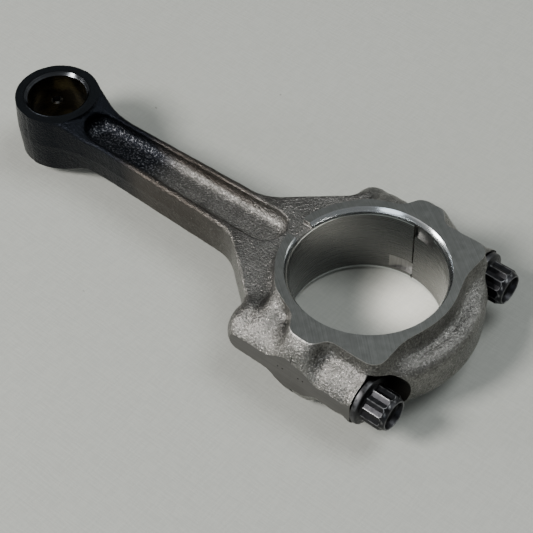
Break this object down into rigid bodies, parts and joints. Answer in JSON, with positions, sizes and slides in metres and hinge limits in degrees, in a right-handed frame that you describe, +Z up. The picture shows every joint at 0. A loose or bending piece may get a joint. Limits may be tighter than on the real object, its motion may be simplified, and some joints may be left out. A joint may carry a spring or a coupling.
{
  "type": "connecting rod",
  "caption": "Forged steel connecting rod: I-section shank, bushed small end and a split big end whose cap is held by twelve-point flanged bolts.",
  "frame": {"origin": "middle of the footprint, on the side face that the part lies on", "axes": "+X from the small end towards the cap, +Y across the rod towards the far bolt, +Z up along both bore axes"},
  "size_m": [0.21, 0.088, 0.0335],
  "materials": {
    "forged_steel": "shot-blasted forging with machined faces, heat-darkened towards the small end",
    "bush_bronze": "oil-stained bronze",
    "black_oxide_steel": "semi-gloss black oxide",
    "sleeve_steel": "ground"
  },
  "bodies": {
    "rod": {"rod_body": "forged_steel", "small_end_bush": "bush_bronze", "locating_sleeve_near": "sleeve_steel", "locating_sleeve_far": "sleeve_steel"},
    "cap": {"rod_cap": "forged_steel"},
    "bolt_near": {"cap_bolt_near": "black_oxide_steel"},
    "bolt_far": {"cap_bolt_far": "black_oxide_steel"}
  },
  "joints": [
    {"name": "cap_draw", "type": "slide", "parent": "rod", "child": "cap", "axis": [1, 0, 0], "range_m": [0, 0.0245]},
    {"name": "bolt_near_turn", "type": "hinge", "parent": "cap", "child": "bolt_near", "pos_m": [0.06345, -0.0348, 0.01675], "axis": [1, 0, 0], "range_deg": [0, 8820]},
    {"name": "bolt_far_turn", "type": "hinge", "parent": "cap", "child": "bolt_far", "pos_m": [0.06345, 0.0348, 0.01675], "axis": [1, 0, 0], "range_deg": [0, 8820]}
  ],
  "couplings": [
    {"joint": "bolt_near_turn", "follows": "cap_draw", "rad_per_m": 6283.2},
    {"joint": "bolt_far_turn", "follows": "cap_draw", "rad_per_m": 6283.2}
  ]
}
